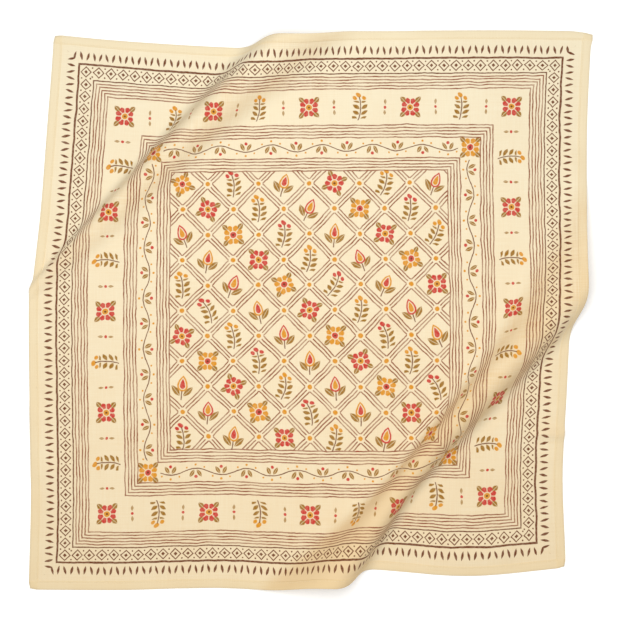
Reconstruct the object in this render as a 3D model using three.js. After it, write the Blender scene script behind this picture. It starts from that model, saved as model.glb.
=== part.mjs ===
import * as THREE from 'three';

// A square cotton bandana, spread open on a table.
// Lengths are millimetres, angles are degrees, and up is +Z.
// The cloth is first thought of flat: right runs to the right and far runs away from the
// viewer, both counted from the middle of the square. layCloth then gives the place of
// each flat point on the table, over the two soft ridges that cross two of the corners.

// The cloth
const CLOTH_SIDE = 550;
const HALF_SIDE = CLOTH_SIDE / 2;
const CLOTH_THICKNESS = 1.2;
const CLOTH_COLOUR = '#efd9b4';
const CLOTH_ROUGHNESS = 0.9;

// The hem is the edge turned over twice, so its band is a little thicker
const HEM_WIDTH = 8.5;
const HEM_EXTRA = 0.4;
const HEM_STEP = 1.5;

// The threads are a little out of square: how far the cross threads rise to the right
// and the upright threads lean to the left
const CROSS_THREAD_RISE = 0.4;
const UPRIGHT_THREAD_LEAN = 0.2;

// How far each edge wanders outside a straight line, in rows at even steps.
// The near and far edges are read from left to right, the side edges from near to far.
const EDGE_WANDER = [
  { far: -0.5, near: -1.5, left: 2.5, right: 3.5 },
  { far: -0.5, near: -0.5, left: 0, right: -2 },
  { far: -1.5, near: -2, left: 1, right: 0 },
  { far: -1, near: 3, left: 1.5, right: 1.5 },
  { far: -1, near: 5, left: -0.5, right: -1.5 },
  { far: -1, near: 6.5, left: 0, right: -1 },
  { far: -2.5, near: -2.5, left: 0, right: 3.5 },
];

// Each ridge cuts off one corner of the square. Its line starts on the far or near edge
// and ends on a side edge, at these distances from the corner. The rows are sections at
// even steps along it: how high the crest stands, how far the crest lies from the line
// towards the corner, and how steep the cloth gets on the side of the middle and on the
// side of the corner.
const FAR_LEFT_RIDGE = {
  cornerRight: -1,
  cornerFar: 1,
  startFromCorner: 220,
  endFromCorner: 285,
  sections: [
    { height: 32, aside: -17, middleSlope: 48, cornerSlope: 70 },
    { height: 24, aside: -1, middleSlope: 52, cornerSlope: 69 },
    { height: 15, aside: 10, middleSlope: 42, cornerSlope: 64 },
    { height: 2, aside: 21, middleSlope: 32, cornerSlope: 56 },
  ],
};
const NEAR_RIGHT_RIDGE = {
  cornerRight: 1,
  cornerFar: -1,
  startFromCorner: 230,
  endFromCorner: 250,
  sections: [
    { height: 38, aside: -11, middleSlope: 56, cornerSlope: 78 },
    { height: 28, aside: -22, middleSlope: 78, cornerSlope: 76 },
    { height: 29, aside: -27, middleSlope: 72, cornerSlope: 63 },
    { height: 32, aside: -29, middleSlope: 45, cornerSlope: 66 },
  ],
};

// The mesh is made of rows of points that cross the square from edge to edge, nearly
// along the ridges, and lie close together over them. Each row starts on the left or near
// edge and ends on the far or right edge. Each band of rows ends at these distances,
// walked from the far left corner along those edges, and holds this many rows.
const HEM_CORNER = 2 * HEM_WIDTH;
const PLAIN_CORNER = 2 * (HEM_WIDTH + HEM_STEP);
const WHOLE_WALK = 2 * CLOTH_SIDE;
const ROW_BANDS = [
  { startWalk: HEM_CORNER, endWalk: HEM_CORNER, rows: 1 },
  { startWalk: PLAIN_CORNER, endWalk: PLAIN_CORNER, rows: 1 },
  { startWalk: 222, endWalk: 175, rows: 11 },
  { startWalk: 250, endWalk: 240, rows: 11 },
  { startWalk: 285, endWalk: 322, rows: 11 },
  { startWalk: CLOTH_SIDE, endWalk: CLOTH_SIDE, rows: 12 },
  { startWalk: 756, endWalk: 700, rows: 10 },
  { startWalk: 850, endWalk: 802, rows: 16 },
  { startWalk: 928, endWalk: 882, rows: 14 },
  { startWalk: WHOLE_WALK - PLAIN_CORNER, endWalk: WHOLE_WALK - PLAIN_CORNER, rows: 11 },
  { startWalk: WHOLE_WALK - HEM_CORNER, endWalk: WHOLE_WALK - HEM_CORNER, rows: 1 },
  { startWalk: WHOLE_WALK, endWalk: WHOLE_WALK, rows: 1 },
];
const POINT_SPACING = 18;

// How finely the slope across a flank is added up, the step over the flat cloth that
// finds normals, the step along a ridge, as a share of it, that finds how the corner
// turns, and the lowest crest, so that a faded ridge still has flanks
const SLOPE_SAMPLES = 16;
const NORMAL_STEP = 0.5;
const TURN_STEP = 0.02;
const LOWEST_CREST = 0.01;

// A value at a place from 0 to 1 along a table's evenly spaced rows, smooth between them
function readTable(rows, column, place) {
  const last = rows.length - 1;
  const at = (k) => {
    if (k < 0) return 2 * rows[0][column] - rows[1][column];
    if (k > last) return 2 * rows[last][column] - rows[last - 1][column];
    return rows[k][column];
  };
  const k = Math.min(Math.max(Math.floor(place * last), 0), last - 1);
  const t = place * last - k;
  const slopeHere = (at(k + 1) - at(k - 1)) / 2;
  const slopeNext = (at(k + 2) - at(k)) / 2;
  const rise = at(k + 1) - at(k);
  return at(k) + slopeHere * t + (3 * rise - 2 * slopeHere - slopeNext) * t ** 2
    + (slopeHere + slopeNext - 2 * rise) * t ** 3;
}

// The slope along a flank grows from nothing to the steepest in its middle and back.
// The share of that steepest slope, at a place from -1 to 1 across the flank:
const slopeShare = (place) => 1 - place * place;

// The height climbed and the cloth taken up, which is how much less table than cloth is
// covered, both added up from the foot of a flank to the given share of it
function climbFlank(steepest, clothLength, share) {
  let height = 0;
  let takenUp = 0;
  const piece = clothLength * share / SLOPE_SAMPLES;
  for (let i = 0; i < SLOPE_SAMPLES; i += 1) {
    const place = 2 * share * (i + 0.5) / SLOPE_SAMPLES - 1;
    const slope = steepest * slopeShare(place);
    height += piece * Math.sin(slope);
    takenUp += piece * (1 - Math.cos(slope));
  }
  return { height, takenUp };
}

// A ridge's line on the flat cloth, with the direction along it and towards the corner
function ridgeLine(ridge) {
  const corner = new THREE.Vector2(ridge.cornerRight, ridge.cornerFar).multiplyScalar(HALF_SIDE);
  const start = corner.clone();
  start.x -= ridge.cornerRight * ridge.startFromCorner;
  const end = corner.clone();
  end.y -= ridge.cornerFar * ridge.endFromCorner;
  const along = end.clone().sub(start);
  const length = along.length();
  along.normalize();
  const toCorner = new THREE.Vector2(-along.y, along.x);
  if (corner.clone().sub(start).dot(toCorner) < 0) {
    toCorner.negate();
  }
  return { start, length, along, toCorner };
}

// What a ridge does to the cloth at a place along it and a distance from its line:
// the height there, and the length of cloth taken up between its foot and there
function crossRidge(ridge, place, distance) {
  const read = (column) => readTable(ridge.sections, column, place);
  const crestHeight = Math.max(read('height'), LOWEST_CREST);
  const crest = read('aside');
  const middleSlope = THREE.MathUtils.degToRad(read('middleSlope'));
  const cornerSlope = THREE.MathUtils.degToRad(read('cornerSlope'));
  const middleLength = crestHeight / climbFlank(middleSlope, 1, 1).height;
  const cornerLength = crestHeight / climbFlank(cornerSlope, 1, 1).height;
  const middleFoot = crest - middleLength;
  const clampedShare = (from, length) => THREE.MathUtils.clamp((distance - from) / length, 0, 1);
  const up = climbFlank(middleSlope, middleLength, clampedShare(middleFoot, middleLength));
  const down = climbFlank(cornerSlope, cornerLength, clampedShare(crest, cornerLength));
  const height = Math.max(up.height - down.height, 0);
  return { height, takenUp: up.takenUp + down.takenUp, crest };
}

// How far a ridge moves a flat point. The cloth beyond it comes in towards the middle, and
// where a ridge takes up more cloth at one end, the corner beyond it also turns.
function ridgeShift(ridge, line, point) {
  const fromStart = point.clone().sub(line.start);
  const place = fromStart.dot(line.along) / line.length;
  const distance = fromStart.dot(line.toCorner);
  const here = crossRidge(ridge, place, distance);
  const whole = (at) => crossRidge(ridge, at, CLOTH_SIDE).takenUp;
  const turn = (whole(place + TURN_STEP) - whole(place - TURN_STEP)) / (2 * TURN_STEP * line.length);
  const shift = line.toCorner.clone().multiplyScalar(-here.takenUp);
  shift.addScaledVector(line.along, turn * Math.max(distance - here.crest, 0));
  return new THREE.Vector3(shift.x, shift.y, here.height);
}

const RIDGES = [FAR_LEFT_RIDGE, NEAR_RIGHT_RIDGE].map((ridge) => ({ ridge, line: ridgeLine(ridge) }));

// The place on the table of a point of the flat cloth's underside
function layCloth(right, far) {
  const rightShare = right / HALF_SIDE;
  const farShare = far / HALF_SIDE;
  const wander = (edge, share) => readTable(EDGE_WANDER, edge, (share + 1) / 2);
  const sideWander = right > 0 ? wander('right', farShare) : wander('left', farShare);
  const endWander = far > 0 ? wander('far', rightShare) : wander('near', rightShare);
  const lean = Math.tan(THREE.MathUtils.degToRad(UPRIGHT_THREAD_LEAN));
  const rise = Math.tan(THREE.MathUtils.degToRad(CROSS_THREAD_RISE));
  const place = new THREE.Vector3(right - lean * far, far + rise * right, 0);
  place.x += sideWander * rightShare;
  place.y += endWander * farShare;
  const point = new THREE.Vector2(right, far);
  RIDGES.forEach(({ ridge, line }) => place.add(ridgeShift(ridge, line, point)));
  return place;
}

// The direction square to the cloth at a flat point
function clothNormal(right, far) {
  const rightward = layCloth(right + NORMAL_STEP, far).sub(layCloth(right - NORMAL_STEP, far));
  const farward = layCloth(right, far + NORMAL_STEP).sub(layCloth(right, far - NORMAL_STEP));
  return rightward.cross(farward).normalize();
}

// Where a row starts, walking from the far left corner down the left edge and on along
// the near edge, and where it ends, walking along the far edge and on down the right edge
const rowStart = (walk) => new THREE.Vector2(
  Math.max(walk - CLOTH_SIDE, 0) - HALF_SIDE,
  HALF_SIDE - Math.min(walk, CLOTH_SIDE),
);
const rowEnd = (walk) => new THREE.Vector2(
  Math.min(walk, CLOTH_SIDE) - HALF_SIDE,
  HALF_SIDE - Math.max(walk - CLOTH_SIDE, 0),
);

// A row's points as shares of its length, each with the extra thickness of the hem:
// the hem at either end and the plain cloth between. Where the row crosses only hem, near
// a corner, the plain part shrinks to one point of hem in its middle.
function rowPoints(startWalk, endWalk) {
  const start = rowStart(startWalk);
  const end = rowEnd(endWalk);
  const across = end.clone().sub(start);
  const fromStart = Math.abs(startWalk <= CLOTH_SIDE ? across.x : across.y);
  const fromEnd = Math.abs(endWalk <= CLOTH_SIDE ? across.y : across.x);
  const hemIn = Math.min(HEM_WIDTH / fromStart, 0.5);
  const plainIn = Math.min((HEM_WIDTH + HEM_STEP) / fromStart, 0.5);
  const hemOut = Math.max(1 - HEM_WIDTH / fromEnd, 0.5);
  const plainOut = Math.max(1 - (HEM_WIDTH + HEM_STEP) / fromEnd, 0.5);
  const plainExtra = hemIn < 0.5 ? 0 : HEM_EXTRA;
  const make = (share, extra) => ({ share, flat: start.clone().lerp(end, share), extra });
  const steps = Math.ceil(across.length() * (plainOut - plainIn) / POINT_SPACING);
  const plain = [make(plainIn, plainExtra)];
  for (let i = 1; i <= steps; i += 1) {
    plain.push(make(THREE.MathUtils.lerp(plainIn, plainOut, i / steps), plainExtra));
  }
  return {
    startHem: [make(0, HEM_EXTRA), make(hemIn, HEM_EXTRA)],
    plain,
    endHem: [make(hemOut, HEM_EXTRA), make(1, HEM_EXTRA)],
  };
}

// All the rows, from the far left corner to the near right one
function allRows() {
  let previous = { startWalk: 0, endWalk: 0 };
  const rows = [rowPoints(0, 0)];
  ROW_BANDS.forEach((band) => {
    for (let i = 1; i <= band.rows; i += 1) {
      const startWalk = THREE.MathUtils.lerp(previous.startWalk, band.startWalk, i / band.rows);
      const endWalk = THREE.MathUtils.lerp(previous.endWalk, band.endWalk, i / band.rows);
      rows.push(rowPoints(startWalk, endWalk));
    }
    previous = band;
  });
  return rows;
}

// The cloth as one closed solid
function clothGeometry() {
  const vertices = [];
  const triangles = [];

  // Each point is a pair of vertices, the underside first and then the upper side. Points
  // at one place of the cloth share their pair, as where a row shrinks to a point.
  const pairs = new Map();
  const addPoint = (point) => {
    const key = `${point.flat.x.toFixed(3)} ${point.flat.y.toFixed(3)}`;
    if (!pairs.has(key)) {
      const under = layCloth(point.flat.x, point.flat.y);
      const normal = clothNormal(point.flat.x, point.flat.y);
      const over = under.clone().addScaledVector(normal, CLOTH_THICKNESS + point.extra);
      pairs.set(key, vertices.length / 3);
      vertices.push(...under.toArray(), ...over.toArray());
    }
    return pairs.get(key);
  };
  const addTriangle = (a, b, c) => {
    const corners = [addPoint(a), addPoint(b), addPoint(c)];
    const hasArea = new Set(corners).size === 3;
    if (hasArea) {
      triangles.push(corners[0] + 1, corners[1] + 1, corners[2] + 1);
      triangles.push(corners[0], corners[2], corners[1]);
    }
  };
  const addRim = (a, b) => {
    const from = addPoint(a);
    const to = addPoint(b);
    triangles.push(from, to, to + 1, from, to + 1, from + 1);
  };

  // Joins two neighbouring rows with triangles, taking the nearer point of either next
  const zip = (upper, lower) => {
    let i = 0;
    let j = 0;
    while (i < upper.length - 1 || j < lower.length - 1) {
      const nextUpper = i < upper.length - 1 ? (upper[i].share + upper[i + 1].share) / 2 : Infinity;
      const nextLower = j < lower.length - 1 ? (lower[j].share + lower[j + 1].share) / 2 : Infinity;
      if (nextUpper <= nextLower) {
        addTriangle(upper[i], lower[j], upper[i + 1]);
        i += 1;
      } else {
        addTriangle(upper[i], lower[j], lower[j + 1]);
        j += 1;
      }
    }
  };

  const rows = allRows();
  for (let r = 0; r < rows.length - 1; r += 1) {
    const upper = rows[r];
    const lower = rows[r + 1];
    zip(upper.startHem, lower.startHem);
    zip([upper.startHem[1], upper.plain[0]], [lower.startHem[1], lower.plain[0]]);
    zip(upper.plain, lower.plain);
    zip([upper.plain.at(-1), upper.endHem[0]], [lower.plain.at(-1), lower.endHem[0]]);
    zip(upper.endHem, lower.endHem);
    addRim(upper.startHem[0], lower.startHem[0]);
    addRim(lower.endHem[1], upper.endHem[1]);
  }

  const geometry = new THREE.BufferGeometry();
  geometry.setAttribute('position', new THREE.Float32BufferAttribute(vertices, 3));
  geometry.setIndex(triangles);
  return geometry;
}

const geometry = clothGeometry();

// The origin is on the table, under the middle of the cloth's bounding box
geometry.computeBoundingBox();
const middle = geometry.boundingBox.getCenter(new THREE.Vector3());
geometry.translate(-middle.x, -middle.y, 0);
geometry.computeVertexNormals();

const material = new THREE.MeshStandardMaterial({
  color: CLOTH_COLOUR,
  roughness: CLOTH_ROUGHNESS,
  metalness: 0,
});
const cloth = new THREE.Mesh(geometry, material);
cloth.name = 'bandana_cloth';

const group = new THREE.Group();
group.add(cloth);

export default group;
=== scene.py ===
import math
import bpy
import numpy as np
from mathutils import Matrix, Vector


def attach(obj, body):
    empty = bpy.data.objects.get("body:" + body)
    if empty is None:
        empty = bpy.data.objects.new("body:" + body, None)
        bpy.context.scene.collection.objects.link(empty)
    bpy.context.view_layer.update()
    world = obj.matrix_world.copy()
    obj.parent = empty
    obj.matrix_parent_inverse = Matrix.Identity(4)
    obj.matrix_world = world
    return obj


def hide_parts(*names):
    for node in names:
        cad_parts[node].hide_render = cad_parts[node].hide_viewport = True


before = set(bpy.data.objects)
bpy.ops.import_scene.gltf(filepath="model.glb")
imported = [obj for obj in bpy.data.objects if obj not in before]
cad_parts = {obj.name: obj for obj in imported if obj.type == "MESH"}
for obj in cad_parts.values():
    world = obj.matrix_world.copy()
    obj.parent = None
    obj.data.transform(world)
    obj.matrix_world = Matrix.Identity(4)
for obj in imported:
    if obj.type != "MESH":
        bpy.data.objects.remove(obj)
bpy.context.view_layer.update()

# %% [markdown]
# A printed cotton bandana, laid open.
# The real object is one square of fine plain-woven cotton with a narrow hem all round and
# a print that was drawn by hand. It lies nearly flat, but the last hand that spread it left
# two soft ridges, each cutting off one corner. The frame holds the cloth as a plain solid.
# This script dresses it: a thin sheet with the same ridges and finer creases, its sewing,
# the woven and printed finish, and a white table under soft light.

# %% [markdown]
# The camera comes first, because everything else is judged through it. The photograph was
# taken from straight above, with the cloth nearly filling a square picture. The scale was
# measured on the cloth, and a long lens far away keeps the square free of perspective.

# %% Camera
MM = 0.001
PICTURE_PIXELS = 620
TABLE_MM_PER_PIXEL = 0.985
CAMERA_HEIGHT = 1.6
CAMERA_MIDDLE = (-0.0007, 0.0002)
SENSOR = 36

picture_width = PICTURE_PIXELS * TABLE_MM_PER_PIXEL * MM
bpy.ops.object.select_all(action="DESELECT")
bpy.ops.object.camera_add(location=(*CAMERA_MIDDLE, CAMERA_HEIGHT), rotation=(0, 0, 0))
camera = bpy.context.object
camera.name = "camera_above"
camera.data.sensor_width = SENSOR
camera.data.lens = SENSOR * CAMERA_HEIGHT / picture_width
bpy.context.scene.camera = camera
print(f"lens {camera.data.lens:.1f} mm, picture {picture_width:.3f} m wide on the table")

# %% [markdown]
# The cloth is first thought of flat, because that is how it was woven, hemmed and printed.
# Each point has a flat place: right and far, in millimetres from the middle of the square.
# The sizes here are the ones that the frame's solid was made from, so the sheet
# lies where the solid lies.

# %% The flat cloth
CLOTH_SIDE = 550
HALF_SIDE = CLOTH_SIDE / 2
HEM_WIDTH = 8.5
CROSS_THREAD_RISE = math.radians(0.4)
UPRIGHT_THREAD_LEAN = math.radians(0.2)

# How far each edge wanders outside a straight line, in millimetres at even steps
EDGE_WANDER = {
    "far": (-0.5, -0.5, -1.5, -1, -1, -1, -2.5),
    "near": (-1.5, -0.5, -2, 3, 5, 6.5, -2.5),
    "left": (2.5, 0, 1, 1.5, -0.5, 0, 0),
    "right": (3.5, -2, 0, 1.5, -1.5, -1, 3.5),
}


def read_row(row, place):
    """Reads evenly spaced values at places from 0 to 1, smoothly between them."""
    row = np.array(row, float)
    longer = np.concatenate([[2 * row[0] - row[1]], row, [2 * row[-1] - row[-2]]])
    steps = place * (len(row) - 1)
    k = np.clip(np.floor(steps).astype(int), 0, len(row) - 2)
    t = steps - k
    before, here, after, beyond = (longer[k + i] for i in range(4))
    slope_here = (after - before) / 2
    slope_next = (beyond - here) / 2
    rise = after - here
    bend = 3 * rise - 2 * slope_here - slope_next
    twist = slope_here + slope_next - 2 * rise
    return here + slope_here * t + bend * t**2 + twist * t**3


print(f"cloth {CLOTH_SIDE} mm square, hem {HEM_WIDTH} mm")

# %% [markdown]
# A ridge in cloth keeps the cloth's length: it climbs on one side, comes down on the other,
# and the cloth beyond it is pulled in by what the climb used up. A cloth simulation would
# find some ridge, but not this one. So each ridge is written as a few sections along its
# line: how high it is, where its crest lies, and how steep its two sides are. Lengths are
# in millimetres and slopes in degrees.

# %% The two ridges
FAR_LEFT_RIDGE = {
    "corner": (-1, 1),
    "start_from_corner": 220,
    "end_from_corner": 285,
    "height": (32, 24, 15, 2),
    "aside": (-17, -1, 10, 21),
    "middle_slope": (48, 52, 42, 32),
    "corner_slope": (70, 69, 64, 56),
}
NEAR_RIGHT_RIDGE = {
    "corner": (1, -1),
    "start_from_corner": 230,
    "end_from_corner": 250,
    "height": (38, 28, 29, 32),
    "aside": (-11, -22, -27, -29),
    "middle_slope": (56, 78, 72, 45),
    "corner_slope": (78, 76, 63, 66),
}
SLOPE_SAMPLES = 16
TURN_STEP = 0.02
LOWEST_CREST = 0.01


def climb(steepest, length, share):
    """The height climbed and the cloth used up, from a side's foot to a share of its length."""
    height = 0
    used = 0
    piece = length * share / SLOPE_SAMPLES
    for i in range(SLOPE_SAMPLES):
        place = 2 * share * (i + 0.5) / SLOPE_SAMPLES - 1
        slope = steepest * (1 - place**2)
        height = height + piece * np.sin(slope)
        used = used + piece * (1 - np.cos(slope))
    return height, used


def cross_ridge(ridge, place, distance):
    """The height, the cloth used up and the crest's place, on a line across a ridge."""
    crest_height = np.maximum(read_row(ridge["height"], place), LOWEST_CREST)
    crest = read_row(ridge["aside"], place)
    middle_slope = np.radians(read_row(ridge["middle_slope"], place))
    corner_slope = np.radians(read_row(ridge["corner_slope"], place))
    middle_length = crest_height / climb(middle_slope, 1, 1)[0]
    corner_length = crest_height / climb(corner_slope, 1, 1)[0]
    climbed = np.clip((distance - crest) / middle_length + 1, 0, 1)
    come_down = np.clip((distance - crest) / corner_length, 0, 1)
    up, used_up = climb(middle_slope, middle_length, climbed)
    down, used_down = climb(corner_slope, corner_length, come_down)
    return np.maximum(up - down, 0), used_up + used_down, crest


def ridge_shift(ridge, flat):
    """How far a ridge moves points of the flat cloth."""
    corner = np.array(ridge["corner"]) * HALF_SIDE
    start = corner - (ridge["corner"][0] * ridge["start_from_corner"], 0)
    end = corner - (0, ridge["corner"][1] * ridge["end_from_corner"])
    length = np.linalg.norm(end - start)
    along = (end - start) / length
    to_corner = np.array((-along[1], along[0]))
    to_corner *= np.sign((corner - start) @ to_corner)
    place = (flat - start) @ along / length
    distance = (flat - start) @ to_corner
    height, used, crest = cross_ridge(ridge, place, distance)
    used_after = cross_ridge(ridge, place + TURN_STEP, CLOTH_SIDE)[1]
    used_before = cross_ridge(ridge, place - TURN_STEP, CLOTH_SIDE)[1]
    turn = (used_after - used_before) / (2 * TURN_STEP * length)
    sideways = turn * np.maximum(distance - crest, 0)
    shift = sideways[:, None] * along - used[:, None] * to_corner
    return np.column_stack([shift, height])


print("ridges up to", max(FAR_LEFT_RIDGE["height"]), "and", max(NEAR_RIGHT_RIDGE["height"]), "mm high")

# %% [markdown]
# Beside the ridges, a spread cloth keeps faint marks: a crease where it was folded in the drawer, a lifted
# hem, a soft wave that nobody smoothed out. They are only a millimetre or so high, and they show as slow
# changes of light. Each is given as a line on the flat cloth with its rise and its width. The hem's corners
# don't come out quite sharp, so the cloth is tucked in a little there.

# %% Creases and waves
CREASES = [
    {"start": (250, -141), "end": (279, -142), "rise": 3.5, "width": 5},
    {"start": (262, -60), "end": (266, -165), "rise": 1.2, "width": 7},
    {"start": (-274, 274), "end": (-248, 258), "rise": 1.6, "width": 6},
    {"start": (-268, -100), "end": (-266, -158), "rise": 1.5, "width": 10},
    {"start": (-250, -150), "end": (-215, -215), "rise": 1.3, "width": 14},
    {"start": (110, 262), "end": (230, 236), "rise": 1.4, "width": 16},
    {"start": (262, 150), "end": (270, 60), "rise": 1.8, "width": 9},
    {"start": (150, -262), "end": (215, -255), "rise": 2.2, "width": 12},
    {"start": (-120, -266), "end": (-10, -262), "rise": 1.2, "width": 10},
    {"start": (-40, 268), "end": (60, 262), "rise": 1.2, "width": 10},
    {"start": (-60, 120), "end": (90, 10), "rise": 0.8, "width": 30},
    {"start": (-190, -30), "end": (-60, -150), "rise": 0.7, "width": 26},
    {"start": (60, 180), "end": (190, 70), "rise": 0.8, "width": 24},
    {"start": (-40, -60), "end": (60, -190), "rise": 0.8, "width": 22},
]
CREASE_FADE = 22
CORNER_TUCK = 1.2
CORNER_REACH = 5


def creased(flat):
    """The small height that the creases and waves add at points of the flat cloth."""
    height = np.zeros(len(flat))
    for crease in CREASES:
        start = np.array(crease["start"], float)
        along = np.array(crease["end"], float) - start
        length = np.linalg.norm(along)
        share = np.clip((flat - start) @ along / length**2, 0, 1)
        nearest = start + share[:, None] * along
        away = np.linalg.norm(flat - nearest, axis=1)
        past_end = np.abs((flat - nearest) @ along) / length
        height += crease["rise"] * np.exp(-((away / crease["width"]) ** 2) - (past_end / CREASE_FADE) ** 2)
    return height


def lay(flat):
    """The places on the table, in millimetres, of the underside of points of the flat cloth."""
    right, far = flat.T
    right_share = right / HALF_SIDE
    far_share = far / HALF_SIDE
    wander = {}
    for edge, row in EDGE_WANDER.items():
        share = right_share if edge in ("far", "near") else far_share
        wander[edge] = read_row(row, (share + 1) / 2)
    sideways = np.where(right > 0, wander["right"], wander["left"]) * right_share
    endways = np.where(far > 0, wander["far"], wander["near"]) * far_share
    placed = np.column_stack([
        right - math.tan(UPRIGHT_THREAD_LEAN) * far + sideways,
        far + math.tan(CROSS_THREAD_RISE) * right + endways,
        creased(flat),
    ])
    for ridge in (FAR_LEFT_RIDGE, NEAR_RIGHT_RIDGE):
        placed += ridge_shift(ridge, flat)
    from_corner = np.linalg.norm(HALF_SIDE - np.abs(flat), axis=1)
    tuck = CORNER_TUCK * np.exp(-((from_corner / CORNER_REACH) ** 2))
    placed[:, :2] -= np.sign(flat) * tuck[:, None]
    return placed


def square_to(flat, step=0.5):
    """The directions square to the laid cloth at points of the flat cloth."""
    rightward = lay(flat + (step, 0)) - lay(flat - (step, 0))
    farward = lay(flat + (0, step)) - lay(flat - (0, step))
    normal = np.cross(rightward, farward)
    return normal / np.linalg.norm(normal, axis=1)[:, None]


print(len(CREASES), "small creases and waves")

# %% [markdown]
# The sheet starts as a grid. Its lines run where threads run, and they crowd together at
# the hem, because the step down from three layers of cloth to one is only half a
# millimetre wide. Each corner of the grid keeps its flat place in the UV map, so the weave
# and the print follow the cloth over the ridges as they do on the real thing.

# %% The sheet of cloth
HEM_LINES = (0, 0.5, 2.6, 5.0, 6.6, 7.2, 7.8, 8.3, 8.8, 9.6)
PLAIN_LINES = 189


def thread_lines():
    """The flat places of the grid's lines, from one edge to the other."""
    first = np.array(HEM_LINES)
    plain = np.linspace(first[-1], CLOTH_SIDE - first[-1], PLAIN_LINES + 2)[1:-1]
    return np.concatenate([first, plain, CLOTH_SIDE - first[::-1]]) - HALF_SIDE


lines = thread_lines()
bpy.ops.object.select_all(action="DESELECT")
bpy.ops.mesh.primitive_grid_add(x_subdivisions=len(lines) - 1, y_subdivisions=len(lines) - 1, size=2)
bandana = bpy.context.object
bandana.name = "bandana"
sheet = bandana.data
sheet.name = "bandana"

even = np.empty(len(sheet.vertices) * 3)
sheet.vertices.foreach_get("co", even)
line_numbers = np.rint((even.reshape(-1, 3)[:, :2] + 1) / 2 * (len(lines) - 1)).astype(int)
flat = lines[line_numbers]
laid = lay(flat)
table_middle = (laid.min(axis=0) + laid.max(axis=0)) / 2
table_middle[2] = 0
sheet.vertices.foreach_set("co", ((laid - table_middle) * MM).ravel())

loop_vertices = np.empty(len(sheet.loops), int)
sheet.loops.foreach_get("vertex_index", loop_vertices)
sheet.uv_layers[0].name = "flat_cloth"
sheet.uv_layers["flat_cloth"].data.foreach_set("uv", (flat[loop_vertices] / CLOTH_SIDE + 0.5).ravel())
sheet.update()
print(f"{len(lines)} lines each way, moved {np.round(table_middle[:2], 2)} mm to the middle")

# %% [markdown]
# Solidify gives the sheet its thickness. One layer of this cotton is thin, the hem is
# three layers, and its corners, where two hems cross, are more. A vertex group tells the
# modifier how thick each point is, so the hem and the line that its sewing pulls in are
# real shapes, which show at the cloth's edge from any side. The sheet has two material
# places, because the print looks different on its underside.

# %% Thickness and hem
ONE_LAYER = 0.35
HEM_LAYERS = 0.95
CORNER_LAYERS = 1.35
ROUNDED_EDGE = 0.6
ROUNDED_WITHIN = 0.5
STEP_DOWN = (8.3, 8.8)
CORNER_STEP_DOWN = (7.8, 8.8)
SEAM_FROM_EDGE = 7.2
SEAM_REACH = 0.6
SEWN_IN = 0.15
UPPER_SIDE = 0
UNDERSIDE = 1


def thickness_at(flat):
    """How thick the cloth is at points of the flat cloth, in millimetres."""
    from_side = HALF_SIDE - np.abs(flat)
    nearer = from_side.min(axis=1)
    across_hem = (0, ROUNDED_WITHIN, *STEP_DOWN)
    hem = np.interp(nearer, across_hem, (ROUNDED_EDGE, HEM_LAYERS, HEM_LAYERS, ONE_LAYER))
    corner = np.interp(from_side.max(axis=1), CORNER_STEP_DOWN, (CORNER_LAYERS - HEM_LAYERS, 0))
    corner = np.where(nearer > 0, corner, 0)
    seam = SEWN_IN * np.clip(1 - np.abs(nearer - SEAM_FROM_EDGE) / SEAM_REACH, 0, 1)
    return hem + corner - seam


sheet.materials.append(None)
sheet.materials.append(None)
thickness = thickness_at(flat)
thick = bandana.vertex_groups.new(name="thickness")
for vertex, share in enumerate(thickness / CORNER_LAYERS):
    thick.add([vertex], share, "REPLACE")
solidify = bandana.modifiers.new("layers", "SOLIDIFY")
solidify.thickness = CORNER_LAYERS * MM
solidify.offset = 1
solidify.vertex_group = "thickness"
solidify.material_offset = UNDERSIDE
bpy.ops.object.modifier_apply(modifier=solidify.name)
bpy.ops.object.shade_smooth_by_angle(angle=math.radians(60))
print(f"{len(sheet.polygons) * 2} triangles, {ONE_LAYER} mm thick and {HEM_LAYERS} mm at the hem")

# %% [markdown]
# The hem is held by one line of machine stitches in cotton thread, close to its inner fold.
# At this size a stitch is a small rounded bar pressed into the cloth. One is modelled from
# a sphere, and its points are then laid along the hem again and again, through the same
# surface as the cloth, so the sewing climbs the ridges with it.

# %% Stitches
STITCH_LENGTH = 2.3
STITCH_PITCH = 2.9
THREAD_THICKNESS = 0.34
STITCH_LIFT = 0.02

bpy.ops.object.select_all(action="DESELECT")
bpy.ops.mesh.primitive_uv_sphere_add(segments=6, ring_count=5, radius=1, rotation=(0, math.pi / 2, 0))
one_stitch = bpy.context.object
bpy.ops.object.transform_apply(location=True, rotation=True, scale=True)
one_shape = np.array([corner.co for corner in one_stitch.data.vertices])
one_shape *= (STITCH_LENGTH / 2, THREAD_THICKNESS / 2, THREAD_THICKNESS / 2)
one_faces = [list(face.vertices) for face in one_stitch.data.polygons]
bpy.data.objects.remove(one_stitch)

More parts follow.
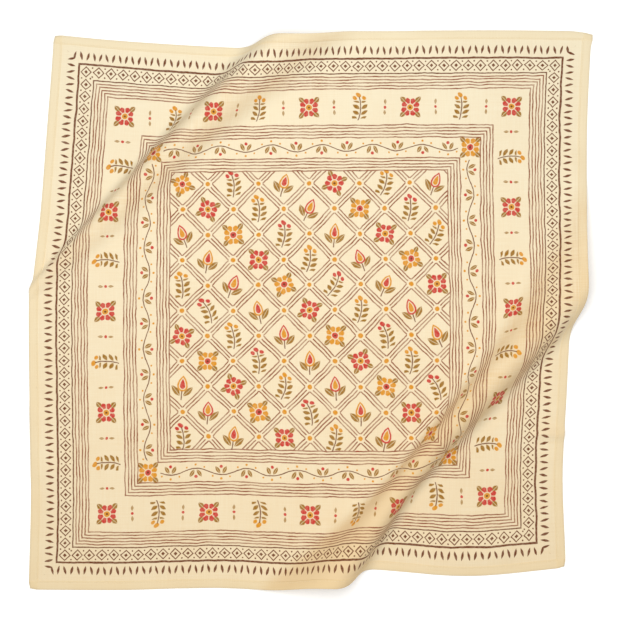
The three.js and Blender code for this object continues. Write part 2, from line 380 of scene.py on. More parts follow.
seam_half = HALF_SIDE - SEAM_FROM_EDGE
stitches_a_side = round(2 * seam_half / STITCH_PITCH)
along_seam = (np.arange(stitches_a_side) + 0.5) * 2 * seam_half / stitches_a_side - seam_half
flat_points = []
heights = []
for quarter in range(4):
    along = np.array(((0, 1), (-1, 0), (0, -1), (1, 0))[quarter])
    outward = np.array((along[1], -along[0]))
    for middle in along_seam:
        centre = outward * seam_half + along * middle
        flat_points.append(centre + one_shape[:, :1] * along + one_shape[:, 1:2] * outward)
        heights.append(thickness_at(flat_points[-1]) + STITCH_LIFT + one_shape[:, 2])
flat_points = np.concatenate(flat_points)
heights = np.concatenate(heights)[:, None]
stitched = lay(flat_points) + square_to(flat_points) * heights - table_middle
faces = [
    [vertex + number * len(one_shape) for vertex in face]
    for number in range(4 * stitches_a_side)
    for face in one_faces
]
sewing_mesh = bpy.data.meshes.new("hem_sewing")
sewing_mesh.from_pydata((stitched * MM).tolist(), [], faces)
hem_sewing = bpy.data.objects.new("hem_sewing", sewing_mesh)
bpy.context.collection.objects.link(hem_sewing)
hem_sewing.select_set(True)
bpy.context.view_layer.objects.active = hem_sewing
bpy.ops.object.shade_smooth()
print(f"{4 * stitches_a_side} stitches, one each {2 * seam_half / stitches_a_side:.2f} mm")

# %% [markdown]
# Every finish below is made of nodes. One small function adds a node, sets it and links
# what feeds it. Colours are written as they would be picked on a screen, and one function
# turns them into the linear values that the renderer mixes.

# %% Nodes and colours
def node(kind, feeds=(), out=0, **settings):
    """Adds a node to the finish in hand. Feeds are values or links, by order or by name."""
    made = finish_tree.nodes.new("ShaderNode" + kind)
    for name, value in settings.items():
        setattr(made, name, value)
    named = feeds.items() if isinstance(feeds, dict) else enumerate(feeds)
    for socket, feed in named:
        if isinstance(feed, bpy.types.NodeSocket):
            finish_tree.links.new(feed, made.inputs[socket])
        elif feed is not None:
            made.inputs[socket].default_value = feed
    return made.outputs[out]


def colour(hex_code):
    """A linear colour, with its alpha, from an sRGB hex code."""
    shares = [int(hex_code[i:i + 2], 16) / 255 for i in (1, 3, 5)]
    linear = [c / 12.92 if c <= 0.04045 else ((c + 0.055) / 1.055) ** 2.4 for c in shares]
    return (*linear, 1)


# %% [markdown]
# The print comes next. On the real cloth each colour was pressed through its own screen,
# so each ink here is worked out alone: for every point, how far it is outside the nearest
# shape of that ink, in millimetres, with less than nothing inside. Shapes of one ink join
# by taking the smallest distance. The design is a plain traditional one of the script's
# own: a leaf row, a diamond chain, drawn lines, a band of rosettes and sprigs, a running
# vine, and a trellis with a bloom in each diamond.

# %% Shapes of ink
INK_BLEED = 0.32
LEAF_VEIN = 0.12


def joined(*shapes):
    """Shapes of one ink as one shape."""
    together = shapes[0]
    for shape in shapes[1:]:
        together = node("Math", (together, shape), operation="MINIMUM")
    return together


def within(shape, limit):
    """A shape, only as far as a limit."""
    return node("Math", (shape, limit), operation="MAXIMUM")


def dot(at, place, radius):
    """A round dot."""
    away = node("VectorMath", (at, (*place, 0)), 1, operation="DISTANCE")
    return node("Math", (away, radius), operation="SUBTRACT")


def leaf(at, place, turn, length, width, vein=LEAF_VEIN):
    """A leaf with two pointed ends and a bare vein. Turned by 0 degrees it lies along x."""
    own = node(
        "Mapping",
        {
            "Vector": at,
            "Location": (*place, 0),
            "Rotation": (0, 0, math.radians(turn)),
            "Scale": (length / 2, width / 2, 1),
        },
        vector_type="TEXTURE",
    )
    along, across = node("SeparateXYZ", (own,)).node.outputs[:2]
    aside = node("Math", (across,), operation="ABSOLUTE")
    body = node("Math", (along, along, aside), operation="MULTIPLY_ADD")
    body = node("Math", (body, width / 2, -width / 2), operation="MULTIPLY_ADD")
    if not vein:
        return body
    bare = node("Math", (aside, -width / 2, vein), operation="MULTIPLY_ADD")
    return within(body, bare)


def bar(across, half_width, along, middle, half_length):
    """A straight stroke, as a stem."""
    wide = node("Math", (across, half_width), operation="SUBTRACT")
    long = node("Math", (along, middle), operation="SUBTRACT")
    long = node("Math", (long,), operation="ABSOLUTE")
    long = node("Math", (long, half_length), operation="SUBTRACT")
    return within(wide, long)


# %% [markdown]
# Three blooms repeat over the cloth. Each is drawn once, around its own middle: an
# eight-petalled rosette with four leaves, a bent sprig with berries, and a bud between two
# leaves. Both sides of a sprig or bud are alike, so only one side is drawn, on a folded
# place. Each bloom gives the shapes of its parts, and the inks are chosen afterwards. The
# numbers are the drawing's own millimetres, and the whole bloom is enlarged later.

# %% Blooms
def rosette(at):
    """An eight-petalled flower: petals, heart, leaves and its dark eye."""
    across, up = node("SeparateXYZ", (at,)).node.outputs[:2]
    radius = node("VectorMath", (at,), 1, operation="LENGTH")
    angle = node("Math", (up, across), operation="ARCTAN2")
    lobes = node("Math", (angle, 4), operation="MULTIPLY")
    lobes = node("Math", (lobes,), operation="SINE")
    lobes = node("Math", (lobes,), operation="ABSOLUTE")
    petals = node("Math", (lobes, -1.7, radius), operation="MULTIPLY_ADD")
    petals = node("Math", (petals, 5.3), operation="SUBTRACT")
    gaps = node("Math", (lobes, radius), operation="MULTIPLY")
    gaps = node("Math", (gaps, -0.25, 0.3), operation="MULTIPLY_ADD")
    ring = node("Math", (2.9, radius), operation="SUBTRACT")
    petals = within(within(petals, gaps), ring)
    heart = node("Math", (radius, 2.2), operation="SUBTRACT")
    eye = node("Math", (radius, 0.8), operation="SUBTRACT")
    quarter = node("VectorMath", (at,), operation="ABSOLUTE")
    leaves = leaf(quarter, (5.5, 5.5), 45, 5.4, 3.6)
    return petals, heart, leaves, eye


def sprig(at):
    """A bent stem with three pairs of leaflets and three berries: berries, leaflets, stem."""
    across, up = node("SeparateXYZ", (at,)).node.outputs[:2]
    bend = node("Math", (up, up), operation="MULTIPLY")
    bend = node("Math", (bend, 0.02, across), operation="MULTIPLY_ADD")
    bend = node("Math", (bend, 0.7), operation="SUBTRACT")
    aside = node("Math", (bend,), operation="ABSOLUTE")
    half = node("CombineXYZ", (aside, up))
    berries = joined(dot(half, (0, 8.6), 1.8), dot(half, (3.3, 6.3), 1.5))
    tier = node("Math", (up, 2.1, -2.1), operation="WRAP")
    tier = node("CombineXYZ", (aside, tier))
    leaflets = leaf(tier, (3.1, 0.2), 32, 5.6, 2.6, vein=0)
    tiers = node("Math", (up, 2.1), operation="ADD")
    tiers = node("Math", (tiers,), operation="ABSOLUTE")
    tiers = node("Math", (tiers, 6.3), operation="SUBTRACT")
    stem = bar(aside, 0.4, up, -1.2, 8.4)
    return berries, within(leaflets, tiers), stem


def bud(at):
    """A round bud that narrows to a point, over two leaves: bud, core, leaves, stem."""
    across, up = node("SeparateXYZ", (at,)).node.outputs[:2]
    over = node("Math", (up, 0), operation="MAXIMUM")
    under = node("Math", (up, 0), operation="MINIMUM")
    reach = node("VectorMath", (node("CombineXYZ", (across, under)),), 1, operation="LENGTH")
    taper = node("Math", (over, over), operation="MULTIPLY")
    body = node("Math", (taper, 0.06, reach), operation="MULTIPLY_ADD")
    body = node("Math", (body, 3.7), operation="SUBTRACT")
    hollow = node("Math", (-1.2, body), operation="SUBTRACT")
    core = node("Math", (body, 1.9), operation="ADD")
    aside = node("Math", (across,), operation="ABSOLUTE")
    side = node("CombineXYZ", (aside, up))
    leaves = leaf(side, (4.4, -3.4), 48, 9.5, 4)
    stem = bar(aside, 0.4, up, -6.6, 3.2)
    return within(body, hollow), core, leaves, stem


# %% [markdown]
# The design is laid out from the edge inwards, as a bandana's is, in bands that turn the
# corners with a mitre. So most shapes need only two numbers: how far a point is from the
# nearest edge, and how far along that side it is. Strokes drawn by hand are never quite
# straight, so every place is first pushed about a little by two noises: a slow one, as the
# hand wanders, and a fine one, as ink creeps along the threads. The bands are given by
# their distance from the edge, and the diamonds of the chain come to 40 a side.

# %% Layout of the print
LEAF_ROW = 19
LEAF_PITCH = 6.4
FRAME_LINE = 27
CHAIN = 34.5
CHAIN_PITCH = (CLOTH_SIDE - 2 * CHAIN) / 40
INNER_FRAME_LINE = 42
FIRST_LINES = 51
BLOOM_BAND = 75
SECOND_LINES = 99
VINE_BAND = 115.25
THIRD_LINES = 131.5
TRELLIS_EDGE = 137.5
BLOOM_PITCH = 50
LINE_PITCH = 3
LINE_HALF_WIDTH = 0.6
HAND_WANDER = (18, 2.4)
INK_CREEP = (3, 0.7)


def hand_drawn(flat):
    """Flat places pushed about as a hand and the ink do. Each noise has a size and a reach."""
    place = flat
    for size, reach in (HAND_WANDER, INK_CREEP):
        noise = node("TexNoise", {"Vector": flat, "Scale": 1 / size, "Detail": 1}, 1)
        place = node("VectorMath", (noise, (reach, reach, 0), place), operation="MULTIPLY_ADD")
    back = -(HAND_WANDER[1] + INK_CREEP[1]) / 2
    return node("VectorMath", (place, (back, back, 0)), operation="ADD")


def away_from(value, middle):
    """How far a value is from a middle, either way."""
    off = node("Math", (value, middle), operation="SUBTRACT")
    return node("Math", (off,), operation="ABSOLUTE")


# %% [markdown]
# The border, from outside in: a row of slim leaves that lean to and fro, a strong frame
# line, a chain of cored diamonds with dots between, and a thinner line. Pingpong turns
# every second leaf round, so one leaf gives the whole zigzag. Diamonds are drawn with
# |x| + |y|, whose lines of equal value are diamonds.

# %% Border shapes
def border_shapes(beside, from_edge):
    """The border's brown shapes."""
    leaning = node("Math", (beside, LEAF_PITCH), operation="PINGPONG")
    leaning = node("Math", (leaning, LEAF_PITCH / 2), operation="SUBTRACT")
    outside = node("Math", (LEAF_ROW, from_edge), operation="SUBTRACT")
    row = leaf(node("CombineXYZ", (leaning, outside)), (0, 0), 76, 9, 2.4, vein=0)
    frame_line = node("Math", (away_from(from_edge, FRAME_LINE), 1), operation="SUBTRACT")
    inner_line = node("Math", (away_from(from_edge, INNER_FRAME_LINE), 0.6), operation="SUBTRACT")
    shapes = joined(row, frame_line, inner_line)
    across = node("Math", (beside, CHAIN_PITCH / 2, -CHAIN_PITCH / 2), operation="WRAP")
    across = node("Math", (across,), operation="ABSOLUTE")
    up = away_from(from_edge, CHAIN)
    size = node("Math", (across, up), operation="ADD")
    for ring, half_width in ((5, 0.72), (0, 1.9)):
        shapes = joined(shapes, node("Math", (away_from(size, ring), half_width), operation="SUBTRACT"))
    return joined(shapes, dot(node("CombineXYZ", (across, up)), (CHAIN_PITCH / 2, 4.3), 0.8))


# %% [markdown]
# Five fine lines run side by side in each of three groups. One drawing serves them all:
# the distance from the group's middle is counted in line pitches, and rounding it gives
# the number of the nearest line. That number also feeds a noise, so each line wanders in
# its own way, as lines drawn one after another do.

# %% Line shapes
LINES_BESIDE_MIDDLE = 2
LINE_WANDER = 0.5
LINE_WANDER_LENGTH = 26
NOISE_BETWEEN_LINES = 9.7


def line_shapes(beside, from_edge):
    """The three groups of fine lines."""
    middle = FIRST_LINES
    for band, before, after in (
        (BLOOM_BAND, FIRST_LINES, SECOND_LINES),
        (VINE_BAND, SECOND_LINES, THIRD_LINES),
    ):
        past = node("Math", (from_edge, band), operation="GREATER_THAN")
        middle = node("Math", (past, after - before, middle), operation="MULTIPLY_ADD")
    count = node("Math", (from_edge, middle), operation="SUBTRACT")
    count = node("Math", (count, LINE_PITCH), operation="DIVIDE")
    number = node("Math", (count,), operation="ROUND")
    number = node("Clamp", (number, -LINES_BESIDE_MIDDLE, LINES_BESIDE_MIDDLE))
    seat = node("Math", (number, NOISE_BETWEEN_LINES, middle), operation="MULTIPLY_ADD")
    seat = node("CombineXYZ", (node("Math", (beside, LINE_WANDER_LENGTH), operation="DIVIDE"), seat))
    wander = node("TexNoise", {"Vector": seat, "Scale": 1, "Detail": 1}, noise_dimensions="2D")
    wander = node("Math", (wander, LINE_WANDER, -LINE_WANDER / 2), operation="MULTIPLY_ADD")
    count = node("Math", (count, wander), operation="ADD")
    off = node("Math", (away_from(count, number), LINE_PITCH), operation="MULTIPLY")
    return node("Math", (off, LINE_HALF_WIDTH), operation="SUBTRACT")


# %% [markdown]
# The vine is one sine wave between two groups of lines. Each half wave holds the same
# little group, upright on one side and upside down on the next: two leaves and a berry in
# the hollow, and three smaller berries outside. Where two sides meet, the vine stops short
# of a square block, and the block holds a rosette.

# %% Vine shapes
VINE_WAVE = 50
VINE_SWING = 3.2
VINE_END = 147.5


def vine_shapes(beside, from_edge, lesser_side):
    """The vine's stem, leaves, hollow berries and outer berries."""
    turn = node("Math", (beside, 2 * math.pi / VINE_WAVE), operation="MULTIPLY")
    wave = node("Math", (turn,), operation="SINE")
    up = node("Math", (VINE_BAND, from_edge), operation="SUBTRACT")
    stem = node("Math", (wave, -VINE_SWING, up), operation="MULTIPLY_ADD")
    stem = node("Math", (stem,), operation="ABSOLUTE")
    stem = node("Math", (stem, 0.5), operation="SUBTRACT")
    side = node("Math", (wave,), operation="SIGN")
    up = node("Math", (up, side), operation="MULTIPLY")
    across = node("Math", (beside, VINE_WAVE / 2, 0), operation="WRAP")
    across = away_from(across, VINE_WAVE / 4)
    at = node("CombineXYZ", (across, up))
    leaves = leaf(at, (3.4, -1.6), -60, 8.4, 3.6)
    berries = dot(at, (0, -5), 1.6)
    outer = joined(dot(at, (0, 6.9), 1.1), dot(at, (8.6, 4.4), 0.9))
    end = node("Math", (lesser_side, VINE_END), operation="SUBTRACT")
    return [within(shape, end) for shape in (stem, leaves, berries, outer)]


# %% [markdown]
# The middle is a trellis: fine lines in threes cross at 45 degrees, with a dot in each
# crossing and a bloom in each diamond. A Mapping node turns the cloth by 45 degrees and
# shrinks a diamond to one unit. Then the whole number is the diamond's address and
# the fraction is the place in it, so one drawing fills them all.

# %% Trellis shapes
DIAMOND = BLOOM_PITCH / math.sqrt(2)
CROSSING_CLEAR = 4.4
CROSSING_DOT = 2.3


def trellis_shapes(hand, from_edge):
    """The trellis lines, the crossings' dots, and the address of and place in a diamond."""
    turned = node(
        "Mapping",
        {
            "Vector": hand,
            "Location": (0.5, 0.5, 0),
            "Rotation": (0, 0, math.radians(-45)),
            "Scale": (1 / DIAMOND, 1 / DIAMOND, 0),
        },
    )
    address = node("VectorMath", (turned,), operation="FLOOR")
    inside = node("VectorMath", (turned,), operation="FRACTION")
    inside = node("VectorMath", (inside, (0.5, 0.5, 0)), operation="SUBTRACT")
    inside = node("VectorMath", {"Vector": inside, "Scale": DIAMOND}, operation="SCALE")
    edge = node("VectorMath", (inside,), operation="ABSOLUTE")
    edge = node("VectorMath", ((DIAMOND / 2, DIAMOND / 2, 0), edge), operation="SUBTRACT")
    crossing = node("VectorMath", (edge,), 1, operation="LENGTH")
    one_way, other_way = node("SeparateXYZ", (edge,)).node.outputs[:2]
    lines = joined(one_way, away_from(one_way, LINE_PITCH), other_way, away_from(other_way, LINE_PITCH))
    lines = node("Math", (lines, LINE_HALF_WIDTH), operation="SUBTRACT")
    lines = within(lines, node("Math", (CROSSING_CLEAR, crossing), operation="SUBTRACT"))
    outside = node("Math", (TRELLIS_EDGE, from_edge), operation="SUBTRACT")
    dots = within(node("Math", (crossing, CROSSING_DOT), operation="SUBTRACT"), outside)
    return within(lines, outside), dots, address, inside


# %% [markdown]
# The blooms stand in the outer band, in the vine's corner blocks and in the trellis. The
# shader picks the place that holds for a point first, and only then draws the blooms, so
# each is drawn once. In the trellis every bloom leans a little by a number drawn from its
# address, so no two are quite alike and the result is the same each time.

# %% Bloom shapes
BLOOM_LEAN = 0.9
BLOOM_SCALE = 1.35


def bloom_shapes(folded, beside, from_edge, address, inside):
    """The blooms' brown, leaf, red and ochre shapes."""
    number = node("Math", (beside, BLOOM_PITCH), operation="DIVIDE")
    number = node("Math", (number,), operation="ROUND")
    in_band = node("Math", (from_edge, SECOND_LINES), operation="LESS_THAN")
    in_trellis = node("Math", (from_edge, TRELLIS_EDGE - 0.5), operation="GREATER_THAN")
    chance = node("TexWhiteNoise", {"Vector": address}, noise_dimensions="2D")
    lean = node("Math", (chance, BLOOM_LEAN, math.radians(45) - BLOOM_LEAN / 2), operation="MULTIPLY_ADD")
    leaning = node("VectorRotate", {"Vector": inside, "Angle": lean}, rotation_type="Z_AXIS")
    block = (HALF_SIDE - VINE_BAND,) * 2
    corner = node("VectorMath", (folded, (*block, 0)), operation="SUBTRACT")
    at = node("Mix", {0: in_trellis, 4: corner, 5: leaning}, 1, data_type="VECTOR")
    across = node("Math", (beside, BLOOM_PITCH / 2, -BLOOM_PITCH / 2), operation="WRAP")
    up = node("Math", (BLOOM_BAND, from_edge), operation="SUBTRACT")
    in_row = node("CombineXYZ", (across, up))
    at = node("Mix", {0: in_band, 4: at, 5: in_row}, 1, data_type="VECTOR")
    at = node("VectorMath", {"Vector": at, "Scale": 1 / BLOOM_SCALE}, operation="SCALE")

    column, rank = node("SeparateXYZ", (address,)).node.outputs[:2]
    third = node("Math", (column, 3), operation="FLOORED_MODULO")
    odd_rank = node("Math", (rank, 2), operation="FLOORED_MODULO")
    odd_number = node("Math", (number, 2), operation="FLOORED_MODULO")
    is_sprig = node("Math", (third, 1, 0.1), operation="COMPARE")
    is_sprig = node("Math", (is_sprig, in_trellis), operation="MULTIPLY")
    is_sprig = node("Mix", {0: in_band, 2: is_sprig, 3: odd_number}, data_type="FLOAT")
    is_bud = node("Math", (third, 2, 0.1), operation="COMPARE")
    is_bud = node("Math", (is_bud, in_trellis), operation="MULTIPLY")
    is_warm = node("Mix", {0: in_trellis, 2: 1, 3: odd_rank}, data_type="FLOAT")
    is_warm = node("Mix", {0: in_band, 2: is_warm, 3: odd_number}, data_type="FLOAT")

    petals, heart, leaves, brown = rosette(at)
    berries, leaflets, stem = sprig(at)
    petals = node("Mix", {0: is_sprig, 2: petals, 3: berries}, data_type="FLOAT")
    leaves = node("Mix", {0: is_sprig, 2: leaves, 3: leaflets}, data_type="FLOAT")
    brown = node("Mix", {0: is_sprig, 2: brown, 3: stem}, data_type="FLOAT")
    heart = node("Math", (is_sprig, BLOOM_PITCH, heart), operation="MULTIPLY_ADD")
    bud_shape, core, bud_leaves, bud_stem = bud(at)
    petals = node("Mix", {0: is_bud, 2: petals, 3: bud_shape}, data_type="FLOAT")
    heart = node("Mix", {0: is_bud, 2: heart, 3: core}, data_type="FLOAT")
    leaves = node("Mix", {0: is_bud, 2: leaves, 3: bud_leaves}, data_type="FLOAT")
    brown = node("Mix", {0: is_bud, 2: brown, 3: bud_stem}, data_type="FLOAT")
    red = node("Mix", {0: is_warm, 2: petals, 3: heart}, data_type="FLOAT")
    ochre = node("Mix", {0: is_warm, 2: heart, 3: petals}, data_type="FLOAT")

    between = node("Math", (across,), operation="ABSOLUTE")
    between = node("Math", (BLOOM_PITCH / 2, between), operation="SUBTRACT")
    filler = node("CombineXYZ", (between, node("Math", (up,), operation="ABSOLUTE")))
    red = joined(red, dot(filler, (0, 0), 1.4))
    leaves = joined(leaves, leaf(filler, (0, 5.2), 90, 5.6, 2.2))
    return brown, leaves, red, ochre


# %% [markdown]
# The cloth is cotton lawn: fine combed threads in a plain weave, bleached to cream, with no shine. To the
# eye that is a warm matt ground with faint streaks along both threads, where a thread runs thicker. It lets
# some of the white table through, so it looks deeper in the hem, which is three layers. On the ridges, which
# stand clear of the table, the colour is painted deeper: painted shade for the table's light that no longer
# comes through. The colour is also painted deeper towards the near edge and paler towards the far edge, as
# painted shade where the light falls off, and a darker line of painted shade runs along the hem's fold.
# The threads are really 0.35 mm apart, which is too fine for this picture, so the weave is
# drawn at twice that, and only as bump.

# %% Finish of the ground
GROUND = "#eadfc2"
GROUND_DEEP_AND_PAINTED_SHADE = "#dcc196"
HEM_GROUND_AND_FOLD_SHADE = "#dcc18a"
THREAD_SPACING = 0.7
WEAVE_HEIGHT = 0.08 * MM
STREAK_SIZE = (0.9, 34)
CLOUD_SIZE = 55
CLOUD_SHARE = 0.35
UNEVEN = 0.18

# Painted shade: how much of the deeper colour shows from near to far, where the light falls off, and how
# many times more off the table, where the table's light no longer comes through
PAINTED_SHADE_NEAR_TO_FAR = (0.63, 0.16)
PAINTED_SHADE_HEIGHTS = (3 * MM, 14 * MM)
PAINTED_SHADE_OFF_TABLE = 2

# How much of the hem's colour shows in it, how many times more at its corners, and as painted shade at its
# fold
DEEPER_HEM = 0.18
DEEPER_HEM_CORNER = 1.9
PAINTED_FOLD_SHADE = 0.2
FOLD_SHADE_REACH = 0.5
HEM_FADES_IN = (-0.4, 0.3)


def start_finish(name):
    """Starts a material, and gives it with its surface shader."""
    global finish_tree
    finish = bpy.data.materials.new(name)
    finish.use_nodes = True
    finish_tree = finish.node_tree
    return finish, finish_tree.nodes["Principled BSDF"]


def feed(shader, **feeds):
    """Links values to a shader's sockets."""
    for socket, value in feeds.items():
        finish_tree.links.new(value, shader.inputs[socket.replace("_", " ")])


def thread_streaks(flat):
    """Long faint streaks along the upright and the cross threads, about 0.5."""
    thin, long = STREAK_SIZE
    streaks = []
    for stretch in ((1 / thin, 1 / long, 0), (1 / long, 1 / thin, 0)):
        along = node("VectorMath", (flat, stretch), operation="MULTIPLY")
        streaks.append(node("TexNoise", {"Vector": along, "Scale": 1, "Detail": 2}, noise_dimensions="2D"))
    both = node("Math", streaks, operation="ADD")
    return node("Math", (both, 0.5), operation="MULTIPLY")


def ground(flat, streaks):
    """The unprinted cloth's colour, with painted shade deeper towards the near edge, off the table and along
    the hem's fold; deeper in the hem, which is three layers.
    """
    cloud = node("TexNoise", {"Vector": flat, "Scale": 1 / CLOUD_SIZE, "Detail": 2})
    tone = node("Math", (streaks, 1 - CLOUD_SHARE), operation="MULTIPLY")
    tone = node("Math", (cloud, CLOUD_SHARE, tone), operation="MULTIPLY_ADD")
    tone = node("MapRange", (tone, 0.3, 0.7, -UNEVEN, UNEVEN))
    # Painted shade: the colour deepens towards the near edge, where the light falls off.
    far = node("SeparateXYZ", (flat,), 1)
    painted_falloff_shade = node("MapRange", (far, -HALF_SIDE, HALF_SIDE, *PAINTED_SHADE_NEAR_TO_FAR))
    tone = node("Math", (tone, painted_falloff_shade), operation="ADD")
    # Painted shade: the colour deepens where the cloth stands clear of the table, for the table's light that
    # no longer comes through it.
    height = node("SeparateXYZ", (node("TexCoord", out=3),), 2)
    painted_lift_shade = node("MapRange", (height, *PAINTED_SHADE_HEIGHTS, 1, PAINTED_SHADE_OFF_TABLE))
    tone = node("Math", (tone, painted_lift_shade), operation="MULTIPLY")
    tone = node("Clamp", (tone, 0, 1))
    # The deeper colour carries both the cloth's random tone and the painted shade.
    plain = node("Mix", {0: tone, 6: colour(GROUND), 7: colour(GROUND_DEEP_AND_PAINTED_SHADE)}, 2, data_type="RGBA")
    folded = node("VectorMath", (flat,), operation="ABSOLUTE")
    across, up = node("SeparateXYZ", (folded,)).node.outputs[:2]
    nearer = node("Math", (across, up), operation="MAXIMUM")
    further = node("Math", (across, up), operation="MINIMUM")
    inner = HALF_SIDE - HEM_WIDTH
    fade = [inner + step for step in HEM_FADES_IN]
    hem = node("MapRange", (nearer, *fade, 0, DEEPER_HEM))
    corner = node("MapRange", (further, *fade, 1, DEEPER_HEM_CORNER))
    hem = node("Math", (hem, corner), operation="MULTIPLY")
    # Painted shade: a darker line along the hem's inner fold, where its step is shaded.
    painted_fold_shade_mask = node("Math", (away_from(nearer, inner), FOLD_SHADE_REACH), operation="LESS_THAN")
    hem = node("Math", (painted_fold_shade_mask, PAINTED_FOLD_SHADE, hem), operation="MULTIPLY_ADD")
    # The hem's colour carries both its three layers and the painted shade at its fold.
    return node("Mix", {0: hem, 6: plain, 7: colour(HEM_GROUND_AND_FOLD_SHADE)}, 2, data_type="RGBA")


def weave(flat, streaks):
    """The height of a plain weave, as the bump that tilts the surface."""
    turns = node("VectorMath", {"Vector": flat, "Scale": math.pi / THREAD_SPACING}, operation="SCALE")
    waves = node("VectorMath", (turns,), operation="SINE")
    across, up = node("SeparateXYZ", (waves,)).node.outputs[:2]
    height = node("Math", (across, up), operation="MULTIPLY")
    height = node("Math", (height,), operation="ABSOLUTE")
    height = node("Math", (streaks, 1.5, height), operation="MULTIPLY_ADD")
    return node("Bump", {"Height": height, "Distance": WEAVE_HEIGHT, "Strength": 0.6})


# %% [markdown]
# The inks are pigment in a thin paste, pressed into the cloth and baked. To the eye they
# are as matt as the cloth, a little thin here and there, and soft at their edges. The
# colours are a brick red, an ochre, an olive brown and a dark brown. A lighter brown is for
# the fine lines, which carry less ink than the shapes do. On the underside the same print
# shows paler and reversed, as far as the paste soaked through.

# %% Finish of the printed cloth
INKS = {
    "olive": "#96691d",
    "ochre": "#d08a1e",
    "red": "#bf372f",
    "line": "#86472a",
    "brown": "#6b3a20",
}
THIN_SPOT = 2.4
THIN_SPOT_LOAD = 0.86
THIN_STRETCH = 15
THIN_STRETCH_LOAD = 0.7
SOAKED_THROUGH = 0.4
COTTON_ROUGHNESS = (0.84, 0.95)


def pressed(under, shape, ink, load):
    """The cloth's colour with an ink pressed over it, where its shape is."""
    share = node("MapRange", (shape, INK_BLEED, -INK_BLEED, 0, 1), interpolation_type="SMOOTHSTEP")
    share = node("Math", (share, load), operation="MULTIPLY")
    return node("Mix", {0: share, 6: under, 7: colour(INKS[ink])}, 2, data_type="RGBA")


def printed_cotton(name, soaked):
    """Printed cotton lawn, with a share of the ink's strength on this side."""
    finish, shader = start_finish(name)
    shader.inputs["Sheen Weight"].default_value = 0.05
    shader.inputs["Sheen Roughness"].default_value = 0.5
    shader.inputs["Specular IOR Level"].default_value = 0.15
    uv = node("UVMap", uv_map="flat_cloth")
    flat = node("VectorMath", (uv, (CLOTH_SIDE,) * 3, (-HALF_SIDE, -HALF_SIDE, 0)), operation="MULTIPLY_ADD")

    hand = hand_drawn(flat)
    right, far = node("SeparateXYZ", (hand,)).node.outputs[:2]
    folded = node("VectorMath", (hand,), operation="ABSOLUTE")
    across, up = node("SeparateXYZ", (folded,)).node.outputs[:2]
    on_side = node("Math", (across, up), operation="GREATER_THAN")
    beside = node("Mix", {0: on_side, 2: right, 3: far}, data_type="FLOAT")
    greater_side = node("Math", (across, up), operation="MAXIMUM")
    lesser_side = node("Math", (across, up), operation="MINIMUM")
    from_edge = node("Math", (HALF_SIDE, greater_side), operation="SUBTRACT")

    shapes = {"brown": border_shapes(beside, from_edge), "line": line_shapes(beside, from_edge)}
    stem, shapes["olive"], shapes["red"], shapes["ochre"] = vine_shapes(beside, from_edge, lesser_side)
    shapes["brown"] = joined(shapes["brown"], stem)
    trellis, dots, address, inside = trellis_shapes(hand, from_edge)
    shapes["line"] = joined(shapes["line"], trellis)
    shapes["ochre"] = joined(shapes["ochre"], dots)
    blooms = bloom_shapes(folded, beside, from_edge, address, inside)
    for ink, bloom in zip(("brown", "olive", "red", "ochre"), blooms):
        shapes[ink] = joined(shapes[ink], bloom)

    streaks = thread_streaks(flat)
    seen = ground(flat, streaks)
    spots = node("TexNoise", {"Vector": flat, "Scale": 1 / THIN_SPOT, "Detail": 1})
    load = node("MapRange", (spots, 0.3, 0.65, THIN_SPOT_LOAD * soaked, soaked))
    stretches = node("TexNoise", {"Vector": flat, "Scale": 1 / THIN_STRETCH, "Detail": 1})
    stretches = node("MapRange", (stretches, 0.35, 0.6, THIN_STRETCH_LOAD, 1))
    line_load = node("Math", (load, stretches), operation="MULTIPLY")
    for ink in INKS:
        seen = pressed(seen, shapes[ink], ink, line_load if ink == "line" else load)

    roughness = node("MapRange", (streaks, 0.3, 0.7, *COTTON_ROUGHNESS))
    feed(shader, Base_Color=seen, Roughness=roughness, Normal=weave(flat, streaks))
    return finish


sheet.materials[UPPER_SIDE] = printed_cotton("cotton_lawn_printed", 1)
sheet.materials[UNDERSIDE] = printed_cotton("cotton_lawn_underside", SOAKED_THROUGH)
print("nodes in the printed finish:", len(sheet.materials[UPPER_SIDE].node_tree.nodes))

# %% [markdown]
# Sewing thread is cotton too, but mercerised: treated so that it lies smooth and takes on
# a slight gloss. So its roughness is lower than the cloth's, and its twist gives a fine
# unevenness, drawn here at half a millimetre.

# %% Finish of the thread
THREAD_COLOUR = "#ead9b4"
THREAD_SHADE = "#cfb382"
TWIST = 0.5 * MM
TWIST_HEIGHT = 0.05 * MM
THREAD_ROUGHNESS = (0.5, 0.68)

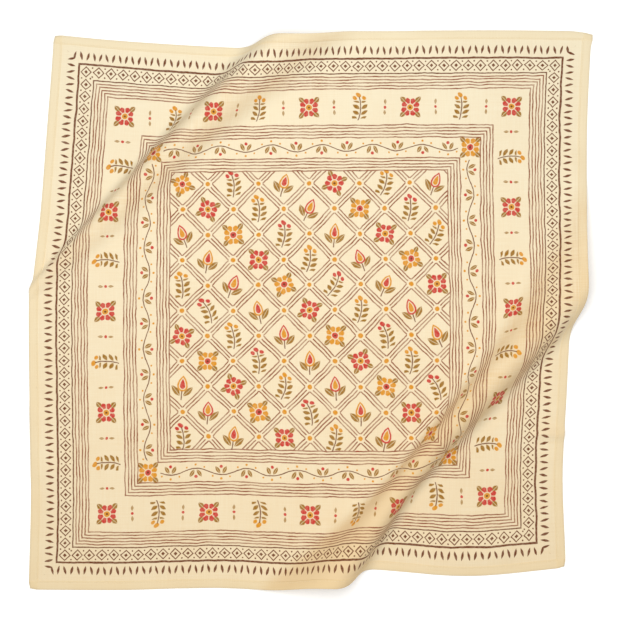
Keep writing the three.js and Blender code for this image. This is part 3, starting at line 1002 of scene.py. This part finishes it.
thread_finish, thread_shader = start_finish("mercerised_cotton_thread")
thread_shader.inputs["Sheen Weight"].default_value = 0.1
thread_place = node("TexCoord", out=3)
twist = node("TexNoise", {"Vector": thread_place, "Scale": 1 / TWIST, "Detail": 1})
shade = node("MapRange", (twist, 0.35, 0.7, 0, 0.8))
mixed = node("Mix", {0: shade, 6: colour(THREAD_COLOUR), 7: colour(THREAD_SHADE)}, 2, data_type="RGBA")
roughness = node("MapRange", (twist, 0.3, 0.7, *THREAD_ROUGHNESS))
fibres = node("Bump", {"Height": twist, "Distance": TWIST_HEIGHT, "Strength": 0.5})
feed(thread_shader, Base_Color=mixed, Roughness=roughness, Normal=fibres)
sewing_mesh.materials.append(thread_finish)
print("nodes in the thread's finish:", len(thread_finish.node_tree.nodes))

# %% [markdown]
# The table is a plain white surface just under the cloth. It glows a little, as painted light that lifts the
# ridges' shadows on it, so they hardly show. The light is a wide soft one almost straight above, with an
# even glow all round, so the flat cloth is bright and the steep sides of the ridges fall off softly, most of
# all where they face away from the middle.

# %% Table and light
TABLE_SIDE = 8
TABLE_GAP = 0.1 * MM
TABLE_COLOUR = "#fbfbfa"
TABLE_PAINTED_GLOW = 0.12
LIGHT_PLACE = (-0.03, 0.05, 1)
LIGHT_SIDE = 0.7
LIGHT_WATTS = 8.6
GLOW = 0.52

bpy.ops.object.select_all(action="DESELECT")
bpy.ops.mesh.primitive_plane_add(size=TABLE_SIDE, location=(0, 0, -TABLE_GAP))
table = bpy.context.object
table.name = "white_table"
table_finish, table_shader = start_finish("matt_white_paint_painted_glow")
table_shader.inputs["Base Color"].default_value = colour(TABLE_COLOUR)
table_shader.inputs["Roughness"].default_value = 0.8
# Painted light: the table glows a little, so the ridges' shadows on it are lifted.
table_shader.inputs["Emission Color"].default_value = colour(TABLE_COLOUR)
table_shader.inputs["Emission Strength"].default_value = TABLE_PAINTED_GLOW
table.data.materials.append(table_finish)

bpy.ops.object.light_add(type="AREA", location=LIGHT_PLACE)
light = bpy.context.object
light.name = "soft_light"
light.data.size = LIGHT_SIDE
light.data.energy = LIGHT_WATTS
light.rotation_euler = Vector(LIGHT_PLACE).to_track_quat("Z", "Y").to_euler()

world = bpy.data.worlds.new("even_glow")
world.use_nodes = True
background = world.node_tree.nodes["Background"]
background.inputs["Color"].default_value = (1, 1, 1, 1)
background.inputs["Strength"].default_value = GLOW
bpy.context.scene.world = world
bpy.context.scene.view_settings.view_transform = "Standard"
print(f"table {TABLE_SIDE} m wide, light {LIGHT_SIDE} m wide at {LIGHT_WATTS} W")

# %% [markdown]
# Last, the frame is told what the pieces are. The sheet stands for the solid, and both the
# sheet and its sewing ride on the only body, because cloth has no joints.

# %% Hand over to the frame
for piece in (bandana, hem_sewing):
    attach(piece, "root")
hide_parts("bandana_cloth")
